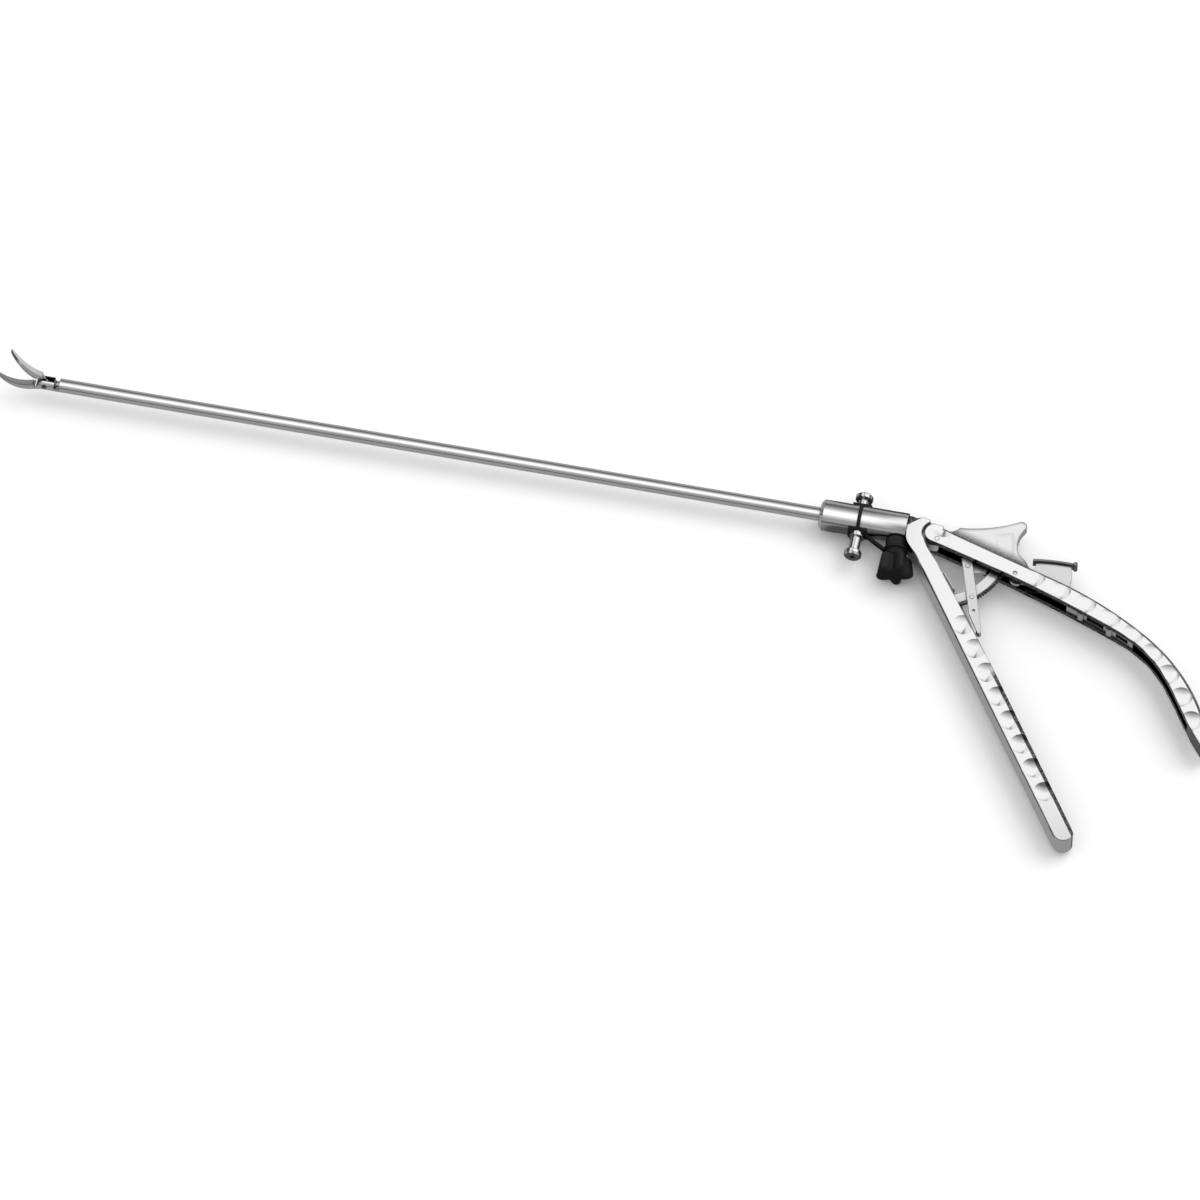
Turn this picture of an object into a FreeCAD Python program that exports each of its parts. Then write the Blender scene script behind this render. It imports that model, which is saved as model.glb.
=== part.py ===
import FreeCAD, Part
import math
import os

# Curved-jaw needle holder. Millimetres.
# +X runs from the jaws to the handles along the tube, +Y up across the handles, +Z off the table.
# The origin is the centre of the hub's front face.

doc = FreeCAD.newDocument("NeedleHolder")
V = FreeCAD.Vector
Z_AXIS = V(0, 0, 1)

# Driving sizes. Every fit is one of these plus a named clearance.
SIZES = {
    "tubeRadius": 2.5,
    "tubeWall": 0.45,
    "tubeFront": 278.8,
    "tubeSeat": 11.0,
    "rodRadius": 1.0,
    "runningGap": 0.05,
    "hubRadius": 5.65,
    "hubLength": 31.7,
    "hubBevel": 1.2,
    "boltPlace": 14.4,
    "boltRadius": 1.95,
    "boltHeadRadius": 3.15,
    "boltHeadThick": 2.0,
    "boltTop": 10.7,
    "boltBottom": 15.5,
    "bushRadius": 2.75,
    "strapThick": 0.75,
    "portBack": 3.4,
    "portLean": 6.0,
    "portRadius": 2.2,
    "armHalf": 4.3,
    "channelHalf": 2.2,
    "pivotPast": 11.6,
    "pivotDrop": 4.4,
    "pinRadius": 0.8,
    "rodArm": 2.7,
    "rodPinRadius": 0.6,
    "jawPivot": 284.2,
    "jawRoll": 72.0,
    "jawOpen": 39.0,
    "driveArm": 1.6,
    "arcInner": 22.3,
    "arcOuter": 27.0,
    "toothDepth": 0.7,
    "toothPitch": 2.55,
    "plateHalf": 0.7,
    "strutLow": 0.95,
    "strutThick": 1.0,
    "leafThick": 0.45,
    "leverAlong": 30.1,
    "leverDrop": 8.9,
    "rimRound": 2.3,
    "frontPitch": 10.8,
    "dimpleRadius": 3.5,
    "dimpleDepth": 0.9,
    "screwRadius": 0.9,
}
S = SIZES

sheet = doc.addObject("Spreadsheet::Sheet", "Sizes")
for row, (alias, number) in enumerate(SIZES.items(), start=1):
    sheet.set("A%d" % row, alias)
    sheet.set("B%d" % row, str(number))
    sheet.setAlias("B%d" % row, alias)
doc.recompute()

# Handle pieces are drawn about the main pivot and then set at PIVOT.
PIVOT = V(S["hubLength"] + S["pivotPast"], -S["pivotDrop"], 0)
ROD_PIN = V(0, S["rodArm"], 0)
LEVER = V(S["leverAlong"], -S["leverDrop"], 0)
STRUT_TOP = V(12.7, -7.8, 0)
STRUT_TOE = V(21.0, -35.5, 0)
BRACKET_SCREW = V(17.6, -6.6, 0)
LINER_SCREWS = [V(56.3, -18.6, 0), V(67.5, -23.2, 0)]
LEAF_SCREW = V(34.9, -60.8, 0)
FRONT_ALONG = V(0.546, -0.838, 0)
FRONT_ACROSS = V(0.838, 0.546, 0)
REAR_ALONG = V(0.951, -0.309, 0)
REAR_ACROSS = V(0.309, 0.951, 0)
AT_PIVOT = FreeCAD.Placement(PIVOT, FreeCAD.Rotation())
roll = math.radians(S["jawRoll"])
JAW_FRAME = FreeCAD.Placement(FreeCAD.Matrix(
    -1, 0, 0, -S["jawPivot"],
    0, math.cos(roll), math.sin(roll), 0,
    0, math.sin(roll), -math.cos(roll), 0,
    0, 0, 0, 1))

PARTS = []


def keep(obj, name):
    obj.Label = name
    PARTS.append((name, obj))
    return obj


def feature(name, shape, placement=None):
    obj = doc.addObject("Part::Feature", name)
    obj.Shape = shape
    if placement is not None:
        obj.Placement = placement
    return obj


def spline(pairs, z=0.0):
    curve = Part.BSplineCurve()
    curve.interpolate([V(x, y, z) for x, y in pairs])
    return curve.toShape()


def outline(pieces, z=0.0):
    """Closed wire of ("line", points), ("curve", points) and ("arc", [middle, end]) joined end to end."""
    edges = []
    first = None
    last = None
    for kind, pairs in pieces:
        pairs = list(pairs)
        if last is not None:
            pairs = [last] + pairs
        if first is None:
            first = pairs[0]
        if kind == "curve":
            edges.append(spline(pairs, z))
        elif kind == "arc":
            edges.append(Part.Arc(*[V(x, y, z) for x, y in pairs]).toShape())
        else:
            for a, b in zip(pairs, pairs[1:]):
                edges.append(Part.makeLine(V(a[0], a[1], z), V(b[0], b[1], z)))
        last = pairs[-1]
    if math.dist(first, last) > 1e-6:
        edges.append(Part.makeLine(V(last[0], last[1], z), V(first[0], first[1], z)))
    return Part.Wire(edges)


def plate(pieces, low, high):
    return Part.Face(outline(pieces, low)).extrude(V(0, 0, high - low))


def polygon(pairs, low, high):
    return plate([("line", pairs)], low, high)


def rod_z(centre, radius, low, high):
    return Part.makeCylinder(radius, high - low, V(centre.x, centre.y, low), Z_AXIS)


def rod_x(radius, low, high):
    return Part.makeCylinder(radius, high - low, V(low, 0, 0), V(1, 0, 0))


def rod_y(x, radius, low, high, z=0.0):
    return Part.makeCylinder(radius, high - low, V(x, low, z), V(0, 1, 0))


def box(x0, x1, y0, y1, z0, z1):
    return Part.makeBox(x1 - x0, y1 - y0, z1 - z0, V(x0, y0, z0))


def bind(obj, prop, expression):
    obj.setExpression(prop, expression)


def body_revolve(name, points, axis):
    """Turned piece: outline in the XY plane of a body, revolved about its X or Y axis."""
    body = doc.addObject("PartDesign::Body", name)
    sketch = body.newObject("Sketcher::SketchObject", name + "Sketch")
    plane = [o for o in body.Origin.OriginFeatures if o.Role == "XY_Plane"][0]
    sketch.AttachmentSupport = [(plane, "")]
    sketch.MapMode = "FlatFace"
    for a, b in zip(points, points[1:] + points[:1]):
        sketch.addGeometry(Part.LineSegment(V(a[0], a[1], 0), V(b[0], b[1], 0)), False)
    turned = body.newObject("PartDesign::Revolution", name + "Turned")
    turned.Profile = sketch
    turned.ReferenceAxis = (sketch, [axis])
    turned.Angle = 360.0
    doc.recompute()
    return body


def handle_part(name, shape):
    keep(feature(name, shape.removeSplitter(), AT_PIVOT), name)


def biggest(shape):
    return max(shape.Solids, key=lambda s: s.Volume)


def offset_points(pairs, distance):
    """Points moved sideways from a run of points, to the left of its direction."""
    moved = []
    for index, (x, y) in enumerate(pairs):
        a = pairs[max(index - 1, 0)]
        b = pairs[min(index + 1, len(pairs) - 1)]
        length = math.dist(a, b)
        moved.append((x - (b[1] - a[1]) / length * distance, y + (b[0] - a[0]) / length * distance))
    return moved


def strip(pairs, thick, low, high):
    """Thin curved sheet standing on a run of points."""
    upper = offset_points(pairs, thick)
    return plate([("curve", pairs), ("line", [upper[-1]]), ("curve", upper[::-1][1:])], low, high)


def rounding_waste(blank, radius, pick):
    """What a rounding takes off the picked edges of a blank."""
    return blank.cut(blank.makeFillet(radius, [e for e in blank.Edges if pick(e)]))


def dimple(x, y):
    """Shallow grip dimples in both faces of an arm."""
    deep = S["dimpleDepth"]
    past = 1.0
    wide = S["dimpleRadius"] * (deep + past) / deep
    floor = S["armHalf"] - deep
    upper = Part.makeCone(0, wide, deep + past, V(x, y, floor), Z_AXIS)
    lower = Part.makeCone(0, wide, deep + past, V(x, y, -floor), V(0, 0, -1))
    return [upper, lower]


# Shaft

def outer_tube():
    outer = doc.addObject("Part::Cylinder", "TubeOutside")
    inner = doc.addObject("Part::Cylinder", "TubeInside")
    for obj, radius in ((outer, "Sizes.tubeRadius"), (inner, "Sizes.tubeRadius - Sizes.tubeWall")):
        bind(obj, "Radius", radius)
        bind(obj, "Height", "Sizes.tubeFront + Sizes.tubeSeat")
        obj.Placement = FreeCAD.Placement(V(-S["tubeFront"], 0, 0), FreeCAD.Rotation(V(0, 1, 0), 90))
    tube = doc.addObject("Part::Cut", "outer_tube")
    tube.Base = outer
    tube.Tool = inner
    keep(tube, "outer_tube")


def pull_rod():
    eye = PIVOT + ROD_PIN
    half = S["rodPinRadius"] + S["runningGap"]
    bar = rod_x(S["rodRadius"], 4.1 - S["jawPivot"], eye.x - 2.1)
    block = box(eye.x - 2.6, eye.x + 1.7, eye.y - 1.45, S["rodRadius"], -1.15, 1.15)
    slot = box(eye.x - half, eye.x + half, eye.y - 1.0, eye.y + 0.7, -2, 2)
    keep(feature("pull_rod", bar.fuse(block).cut(slot).removeSplitter()), "pull_rod")


def jaw_outline():
    """Sideways curve of both jaws, seen along the opening direction."""
    left = Part.Arc(V(3.0, 0, 1.45), V(9.2, 0, -0.45), V(16.99, 0, 1.78)).toShape()
    tip = Part.Arc(V(16.99, 0, 1.78), V(17.65, 0, 1.75), V(17.61, 0, 1.12)).toShape()
    right = Part.Arc(V(17.61, 0, 1.12), V(9.6, 0, -2.75), V(3.0, 0, -1.45)).toShape()
    root = [Part.makeLine(V(3.0, 0, -1.45), V(1.0, 0, -1.45)),
            Part.makeLine(V(1.0, 0, -1.45), V(1.0, 0, 1.45)),
            Part.makeLine(V(1.0, 0, 1.45), V(3.0, 0, 1.45))]
    wire = Part.Wire(Part.__sortEdges__([left, tip, right] + root))
    return Part.Face(wire)


def jaw_blade(side, low, start):
    """Blade of one jaw: side outline swept across, trimmed to the sideways curve."""
    back = [(start, side * 2.25), (6.0, side * 2.15), (11.0, side * 1.75), (15.0, side * 1.2), (18.2, side * 0.7)]
    pairs = [(start, side * low), (18.2, side * low)] + back[::-1]
    bar = polygon(pairs, -4, 4)
    curve = jaw_outline()
    curve.translate(V(0, -5, 0))
    return bar.common(curve.extrude(V(0, 10, 0)))


def jaw_insert(side):
    low = 0.02
    strip = polygon([(4.2, side * low), (17.3, side * low), (17.3, side * 0.42), (4.2, side * 0.42)], -4, 4)
    curve = jaw_outline()
    curve.translate(V(0, -5, 0))
    return strip.common(curve.extrude(V(0, 10, 0)))


def fixed_jaw():
    plug = rod_x(S["tubeRadius"] - S["tubeWall"], -13.0, -5.4)
    shell = rod_x(S["tubeRadius"], -5.4, 3.4)
    head = polygon([(-6, -2.6), (3.5, -2.6), (3.5, -0.42), (2.9, -0.3), (0.9, 1.95), (-6, 1.95)], -3, 3)
    clevis = shell.common(head)
    shape = plug.fuse(clevis).fuse(jaw_blade(-1, 0.42, 1.9))
    shape = shape.cut(box(-5.5, 2.7, -3, 3, -1.3, 1.3))
    shape = shape.cut(box(-5.41, -3.5, -0.3, 3, -3, 3))
    shape = shape.cut(rod_x(S["rodRadius"] + S["runningGap"], -14, -5))
    shape = shape.cut(rod_z(V(0, 0, 0), 0.6, -3, 3))
    for low, high in ((-3, -2.0), (2.0, 3)):
        shape = shape.cut(rod_z(V(0, 0, 0), 0.9, low, high))
    return shape.removeSplitter()


def moving_jaw():
    tail = rod_z(V(0, 0, 0), 1.5, -0.6, 0.6)
    # The drive pin sits behind the pivot when the jaw is shut.
    swing = math.radians(S["jawOpen"] / 2)
    far = S["driveArm"] / math.cos(swing)
    toward = V(-math.sin(swing), -math.cos(swing), 0)
    lobe = rod_z(toward * S["driveArm"], 0.85, -0.6, 0.6)
    tail = tail.fuse(lobe)
    neck = polygon([(0.0, 1.3), (3.4, 2.2), (4.2, 2.2), (4.2, 0.45), (2.6, 0.45), (0.6, -0.6)], -0.6, 0.6)
    shape = tail.fuse(neck).fuse(jaw_blade(1, 0.42, 3.3))
    shape = shape.cut(rod_z(V(0, 0, 0), 0.6 + S["runningGap"], -3, 3))
    wide = 0.45 + S["runningGap"]
    slot = box(-wide, wide, -far - 0.08, -S["driveArm"] + 0.08, -3, 3)
    ends = [rod_z(V(0, -far - 0.08, 0), wide, -3, 3), rod_z(V(0, -S["driveArm"] + 0.08, 0), wide, -3, 3)]
    slot = slot.fuse(ends)
    slot.rotate(V(0, 0, 0), Z_AXIS, -math.degrees(swing))
    return shape.cut(slot).removeSplitter()


def jaws():
    opened = JAW_FRAME.multiply(FreeCAD.Placement(V(0, 0, 0), FreeCAD.Rotation(Z_AXIS, S["jawOpen"])))
    keep(feature("fixed_jaw", fixed_jaw(), JAW_FRAME), "fixed_jaw")
    keep(feature("fixed_jaw_insert", jaw_insert(-1), JAW_FRAME), "fixed_jaw_insert")
    keep(feature("moving_jaw", moving_jaw(), opened), "moving_jaw")
    keep(feature("moving_jaw_insert", jaw_insert(1), opened), "moving_jaw_insert")
    pivot = rod_z(V(0, 0, 0), 0.6, -1.9, 1.9)
    keep(feature("jaw_pivot_pin", pivot, JAW_FRAME), "jaw_pivot_pin")
    ahead = S["driveArm"] * math.tan(math.radians(S["jawOpen"] / 2))
    drive = V(ahead, -S["driveArm"], 0)
    pin = rod_z(drive, 0.45, -1.2, 1.2)
    keep(feature("jaw_drive_pin", pin, JAW_FRAME), "jaw_drive_pin")
    fork = box(-4.1, -3.2, -2.1, 1.0, -1.2, 1.2)
    for low, high in ((0.7, 1.2), (-1.2, -0.7)):
        fork = fork.fuse(polygon([(-3.3, -2.1), (1.4, -2.1), (1.4, -1.05), (-2.2, -1.05), (-3.3, -0.2)], low, high))
    fork = fork.cut(rod_z(drive, 0.45, -2, 2))
    fork = fork.cut(rod_x(S["rodRadius"], -6, -3.6))
    keep(feature("rod_fork", fork.removeSplitter(), JAW_FRAME), "rod_fork")


# Hub and cross bolt

def port_place():
    """The flush port leans a little towards the handles."""
    spot = V(S["hubLength"] - S["portBack"], 0, 0)
    return FreeCAD.Placement(spot, FreeCAD.Rotation(Z_AXIS, S["portLean"]))


def hub():
    r = S["hubRadius"]
    b = S["hubBevel"]
    bore = S["tubeRadius"]
    way = S["rodRadius"] + 0.35
    seat = S["tubeSeat"]
    length = S["hubLength"]
    profile = [(0, bore), (0, r - b), (b, r), (length, r), (length, bore), (18.5, bore), (18.5, way), (seat, way),
               (seat, bore)]
    hub_body = body_revolve("HubBlank", profile, "H_Axis")
    hole = doc.addObject("Part::Cylinder", "BoltHole")
    bind(hole, "Radius", "Sizes.boltRadius + Sizes.runningGap")
    hole.Height = 30
    hole.Placement = FreeCAD.Placement(V(S["boltPlace"], -15, 0), FreeCAD.Rotation(V(1, 0, 0), -90))
    seat_hole = feature("BushSeat", rod_y(S["boltPlace"], S["bushRadius"], -9, -4.6))
    port_hole = feature("PortSeat", rod_y(0, S["portRadius"] - 0.6, -9, -2.0), port_place())
    drill = doc.addObject("Part::MultiFuse", "HubDrillings")
    drill.Shapes = [hole, seat_hole, port_hole]
    cut = doc.addObject("Part::Cut", "hub_body")
    cut.Base = hub_body
    cut.Tool = drill
    keep(cut, "hub_body")
    seal = rod_x(bore, 18.5, 21.5).cut(rod_x(S["rodRadius"] + S["runningGap"], 18, 22))
    keep(feature("rod_seal", seal), "rod_seal")
    nut = rod_x(bore, 21.5, 24.5).cut(rod_x(S["rodRadius"] + 0.35, 21, 25))
    keep(feature("seal_nut", nut), "seal_nut")


def lock_bolt():
    r = S["boltRadius"]
    head = S["boltHeadRadius"]
    thick = S["boltHeadThick"]
    top = S["boltTop"]
    bottom = -S["boltBottom"]
    profile = [(0, bottom + thick), (r, bottom + thick), (r, top - thick), (head, top - thick), (head, top - 0.5),
               (head - 0.5, top), (0, top)]
    stem = body_revolve("BoltStem", profile, "V_Axis")
    stem.Placement = FreeCAD.Placement(V(S["boltPlace"], 0, 0), FreeCAD.Rotation())
    doc.recompute()
    way = S["rodRadius"] + 0.15
    slot = box(10, 19, -way - 0.1, way + 2.6, -way, way)
    tool = feature("BoltSlot", slot)
    cut = doc.addObject("Part::Cut", "lock_bolt")
    cut.Base = stem
    cut.Tool = tool
    keep(cut, "lock_bolt")
    button = [(0, bottom), (head - 0.5, bottom), (head, bottom + 0.5), (head, bottom + thick), (0, bottom + thick)]
    knob = body_revolve("BoltButton", button, "V_Axis")
    knob.Placement = FreeCAD.Placement(V(S["boltPlace"], 0, 0), FreeCAD.Rotation())
    recess = doc.addObject("Part::Prism", "ButtonSocket")
    recess.Polygon = 6
    recess.Circumradius = 0.9
    recess.Height = 1.0
    recess.Placement = FreeCAD.Placement(V(S["boltPlace"], bottom + 0.9, 0), FreeCAD.Rotation(V(1, 0, 0), 90))
    cut = doc.addObject("Part::Cut", "bolt_button")
    cut.Base = knob
    cut.Tool = recess
    keep(cut, "bolt_button")
    bush = rod_y(S["boltPlace"], S["bushRadius"], -7.4, -4.6)
    bush = bush.cut(rod_y(S["boltPlace"], r + S["runningGap"], -9, -4))
    keep(feature("bolt_bush", bush), "bolt_bush")


def port_and_cap():
    r = S["portRadius"]
    place = port_place()
    seat = rod_y(0, r - 0.6, -9, -3.1)
    port = rod_y(0, r, -12.5, -5.0).fuse(seat).fuse(rod_y(0, r + 0.5, -12.5, -11.7))
    port = port.cut(rod_y(0, 0.9, -14, -1))
    seat.Placement = place
    port.Placement = place
    port = port.cut(rod_x(S["hubRadius"], 10, S["hubLength"] + 5).cut(seat))
    keep(feature("flush_port", port.removeSplitter()), "flush_port")
    lobes = []
    for step in range(5):
        angle = math.radians(36 + 72 * step)
        lobes.append(rod_y(4.9 * math.cos(angle), 2.4, -20.7, -13.2, 4.9 * math.sin(angle)))
    knob = rod_y(0, 4.8, -20.7, -13.2).fuse(lobes)
    cap = knob.fuse(rod_y(0, CAP_SKIRT, -13.3, -9.0)).cut(rod_y(0, r + 0.55, -12.8, -8))
    keep(feature("port_cap", cap.removeSplitter(), place), "port_cap")


CAP_SKIRT = 3.9


def cap_strap():
    x = S["boltPlace"]
    hub_r = S["hubRadius"]
    band_r = hub_r + S["strapThick"]
    eyes = rod_x(band_r, x - 3.4, x + 3.4).common(box(x - 4, x + 4, -9, 9, -3.3, 3.3))
    ring = rod_x(band_r, x - 0.6, x + 0.6).fuse(eyes).cut(rod_x(hub_r, x - 9, x + 9))
    ring = ring.cut(rod_y(x, S["bushRadius"], -9, 0)).cut(rod_y(x, S["boltRadius"] + 0.15, 0, 9))
    collar = rod_y(0, CAP_SKIRT + 0.5, -10.3, -9.4)
    skirt = rod_y(0, CAP_SKIRT, -14, -8)
    for shape in (collar, skirt):
        shape.Placement = port_place()
    reach = S["hubLength"] - 6.6
    path = [(x + 2.8, -6.4), (x + 2.8, -5.8), (x + 4.2, -5.9), (reach, -9.8), (reach, -10.9), (x + 4.0, -6.7)]
    strap = polygon(path, -1, 1)
    shape = ring.fuse([strap, collar]).cut(skirt).removeSplitter()
    keep(feature("cap_strap", shape), "cap_strap")


# Handles

REAR_BACK = [(1.5, 5.5), (45.0, -8.03), (81.0, -25.0), (111.0, -64.2)]
REAR_INSIDE = [(93.9, -46.2), (87.9, -38.2), (80.0, -31.0), (63.8, -23.0), (42.9, -15.0), (27.2, -9.6)]
REAR_MIDDLE = [(37.2, -9.2), (56.9, -16.5), (76.1, -26.0), (91.6, -40.2), (103.1, -57.9)]
KNUCKLE = V(-1.2, 2.3, 0)


def rear_edge(x):
    """Height of the straight run of the rear handle's back."""
    (x0, y0), (x1, y1) = REAR_BACK[:2]
    return y0 + (x - x0) * (y1 - y0) / (x1 - x0)


def rear_back(depth):
    """The rear handle's back, or a line a depth inside it: a straight run, then arcs that carry on smoothly."""
    start, *turns = REAR_BACK
    heading = math.atan2(turns[0][1] - start[1], turns[0][0] - start[0])

    def inside(p, direction):
        return (p[0] + depth * math.sin(direction), p[1] - depth * math.cos(direction))

    pieces = [("line", [inside(start, heading), inside(turns[0], heading)])]
    for a, b in zip(turns, turns[1:]):
        chord = math.atan2(b[1] - a[1], b[0] - a[0])
        half_turn = (heading - chord) / 2
        reach = math.dist(a, b) / 2 / math.cos(half_turn)
        middle = (a[0] + reach * math.cos(chord + half_turn), a[1] + reach * math.sin(chord + half_turn))
        heading = 2 * chord - heading
        pieces.append(("arc", [inside(middle, chord), inside(b, heading)]))
    return pieces


def rear_handle():
    half = S["armHalf"]
    ch = S["channelHalf"]
    shape = plate(rear_back(0) + [("arc", [(111.4, -67.3), (109.3, -68.6)]),
                                  ("line", [(106.3, -64.8)]), ("curve", REAR_INSIDE),
                                  ("line", [(0.9, -2.0), (-1.9, -1.3)]), ("arc", [(-4.8, 2.0), (-0.4, 5.8)])],
                  -half, half)
    blank = plate(rear_back(0) + [("line", [(111.0, -99), (1.5, -99)])], -half, half)

    def outer_rim(edge):
        span = edge.BoundBox
        return span.ZLength < 0.01 and span.XLength > 25 and span.YMin > -80

    shape = shape.cut(rounding_waste(blank, S["rimRound"], outer_rim))
    mouth = ("line", [(2.3, 6.4), (6.1, rear_edge(6.1) - 2.1)])
    floor = [("line", [(105.3, -59.6), (100.9, -58.2), (94.7, -51.6), (16.7, -15.6), (-9.3, -7.6), (-9.3, 10.4),
                       (1.4, 10.4)])]
    wall = rear_back(2.0)
    wall[0] = ("line", wall[0][1][1:])
    shape = shape.cut(plate([mouth] + wall + floor, -ch, ch))
    # Way through the back for the ratchet arc, the pawl toe and the lever.
    corners = [REAR_ALONG * t + REAR_ACROSS * n for t, n in ((21.4, 2.0), (52.4, 1.0), (52.4, 7.5), (21.4, 7.5))]
    shape = shape.cut(polygon([(p.x, p.y) for p in corners], -1.0, 1.0))
    for p in spline(REAR_MIDDLE).discretize(Number=9):
        shape = shape.cut(dimple(p.x, p.y))
    shape = shape.cut(rod_z(V(0, 0, 0), S["pinRadius"], -9, 9))
    shape = shape.cut(rod_z(ROD_PIN, S["rodPinRadius"], -2.9, 2.9))
    shape = shape.cut(rod_z(LEVER, LEVER_PIN, -9, 9))
    for place in [BRACKET_SCREW] + LINER_SCREWS:
        shape = shape.cut(rod_z(place, S["screwRadius"], -9, 0))
    handle_part("rear_handle", biggest(shape))


LEVER_PIN = 0.75


def front_point(t, n):
    """Point in the front arm's own run: t down the arm, n from its outer face inwards."""
    p = V(-10.3, -3.0, 0) + FRONT_ALONG * t + FRONT_ACROSS * n
    return (p.x, p.y)


def front_handle():
    half = S["armHalf"]
    ch = S["channelHalf"]
    knuckle_gap = [(-5.9, 2.0), (-3.6, 6.4)]
    shape = plate([("line", [(-11.6, 3.9), (-11.3, -0.6)]), ("curve", [(-10.4, -3.2), (-7.1, -7.2), (-4.6, -11.1)]),
                   ("line", [(60.3, -110.2)]), ("curve", [(62.3, -113.6), (65.7, -116.2), (68.9, -115.2), (69.9, -112.3)]),
                   ("line", [(67.6, -108.6), (29.2, -49.6), (3.4, -12.5)]),
                   ("curve", [(-0.7, -7.0), (-2.9, -4.2), (-4.7, -0.9)]), ("arc", knuckle_gap),
                   ("line", [(-3.6, 7.2)]), ("curve", [(-5.9, 7.7), (-7.8, 7.6)]), ("line", [(-11.6, 7.6)])], -half, half)
    bar = Part.makeBox(20, 110, 2 * half, V(0, -124, -half))
    turn = math.degrees(math.atan2(FRONT_ACROSS.y, FRONT_ACROSS.x))
    waste = rounding_waste(bar, 1.0, lambda e: e.BoundBox.XMax < 0.01 and e.BoundBox.YLength > 50)
    waste.Placement = FreeCAD.Placement(V(*front_point(0, 0), 0), FreeCAD.Rotation(Z_AXIS, turn))
    shape = shape.cut(waste)
    shape = shoulders(shape.fuse(front_root()))
    channel = [front_point(12, 2.2), front_point(126, 2.2), front_point(128, 12), front_point(12, 12)]
    shape = shape.cut(polygon(channel, -ch, ch)).fuse(tongue())
    shape = shape.cut(box(-7.3, 3.7, 0.8, 5.65, -1.35, 1.35))
    way = rod_x(S["rodRadius"] + 0.35, -14, -5)
    way.translate(V(0, S["pivotDrop"], 0))
    shape = shape.cut(way).cut(rod_z(V(0, 0, 0), S["pinRadius"] + S["runningGap"], -9, 9))
    for step in range(8):
        p = V(15.6, -34.1, 0) + FRONT_ALONG * (S["frontPitch"] * step)
        shape = shape.cut(dimple(p.x, p.y))
    for place in ARC_RIVETS + [LEAF_SCREW]:
        shape = shape.cut(rod_z(place, S["screwRadius"], -9, 0))
    handle_part("front_handle", biggest(shape))


def front_root():
    """Round root that meets the hub, trimmed to the knuckle."""
    half = S["armHalf"]
    start = V(-S["pivotPast"], S["pivotDrop"], 0)
    cone = Part.makeCone(S["hubRadius"], 3.3, 5.0, start, V(1, 0, 0))
    return cone.common(box(-14, -3, -9, 14, -half, half)).cut(rod_z(KNUCKLE, 4.7, -9, 9))


def shoulders(shape):
    """Slanted facets between the round root and the flat sides of the arm."""
    for sign in (1, -1):
        half = S["armHalf"] * sign
        normal = V(3.4, 3.0, 0).cross(V(-1.3, 5.45, -half)) * sign
        block = Part.makeBox(16, 16, 8, V(-8, -8, 0))
        block.Placement = FreeCAD.Placement(V(-10.3, 4.6, half), FreeCAD.Rotation(Z_AXIS, normal))
        shape = shape.cut(block.common(box(-12.3, -4.3, 3.8, 14, -9, 9)))
    return shape


def tongue():
    """Lug between the rear handle's cheeks; its open notch lets the rod pin swing."""
    half = S["channelHalf"] - 0.15
    return plate([("line", [(-10.3, -1.7), (-0.3, -1.7)]), ("arc", [(1.7, 0.0), (0.3, 1.7)]),
                  ("line", [(-0.95, 1.7), (-0.95, 3.65), (2.3, 3.65), (2.3, 4.7)]),
                  ("curve", [(1.4, 5.6), (0.1, 6.5), (-1.8, 7.3), (-3.6, 7.4)]), ("line", [(-10.3, 7.4)])], -half, half)


# Ratchet, springs and link

def arc_at(radius, angle):
    """Point on a circle about the main pivot."""
    a = math.radians(angle)
    return (radius * math.cos(a), radius * math.sin(a))


ARC_RIVETS = [V(*arc_at(23.6, -67.5), 0), V(*arc_at(25.8, -66.5), 0)]


def ratchet_arc():
    inner = S["arcInner"]
    outer = S["arcOuter"]
    root = outer - S["toothDepth"]
    pitch = S["toothPitch"]
    teeth = []
    for step in range(17):
        angle = -52.0 + step * pitch
        teeth += [arc_at(root, angle), arc_at(outer, angle + 0.35 * pitch), arc_at(outer, angle + 0.6 * pitch)]
    shape = plate([("line", [arc_at(outer, -70.0)]), ("arc", [arc_at(outer, -61.0), arc_at(outer, -53.5)]),
                   ("line", teeth + [arc_at(root, -7.4), arc_at(inner, -7.0)]),
                   ("arc", [arc_at(inner, -38.0), arc_at(inner, -70.0)])], -S["plateHalf"], S["plateHalf"])
    ch = S["channelHalf"]
    foot = polygon([arc_at(inner, -70), arc_at(outer, -70), arc_at(outer, -64.5), arc_at(inner, -65.5)], -ch, ch)
    shape = shape.fuse(foot)
    for place in ARC_RIVETS:
        shape = shape.cut(rod_z(place, S["screwRadius"], -9, 0.5))
    handle_part("ratchet_arc", shape)
    rivets = [rod_z(p, S["screwRadius"], -S["armHalf"], 0.5) for p in ARC_RIVETS]
    keep(feature("ratchet_rivets", Part.makeCompound(rivets), AT_PIVOT), "ratchet_rivets")


def return_leaf():
    high = S["strutLow"] - 0.2
    spine = [(4.6, -11.8), (12.9, -23.2), (20.95, -36.5), (28.7, -48.3), (34.3, -59.4)]
    shape = strip(spine, S["leafThick"], -2.0, high)
    clear = S["plateHalf"] + 0.2
    notch = [arc_at(20.5, -70), arc_at(29, -70), arc_at(29, -50), arc_at(20.5, -48)]
    post_r = S["screwRadius"] + 0.5
    shape = shape.cut(polygon(notch, -clear, 9)).cut(rod_z(LEAF_SCREW, post_r, -9, 9))
    handle_part("return_leaf_spring", biggest(shape))
    post = rod_z(LEAF_SCREW, S["screwRadius"], -S["armHalf"], -S["channelHalf"])
    handle_part("leaf_spring_post", post.fuse(rod_z(LEAF_SCREW, post_r, -S["channelHalf"], S["channelHalf"])))


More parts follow.
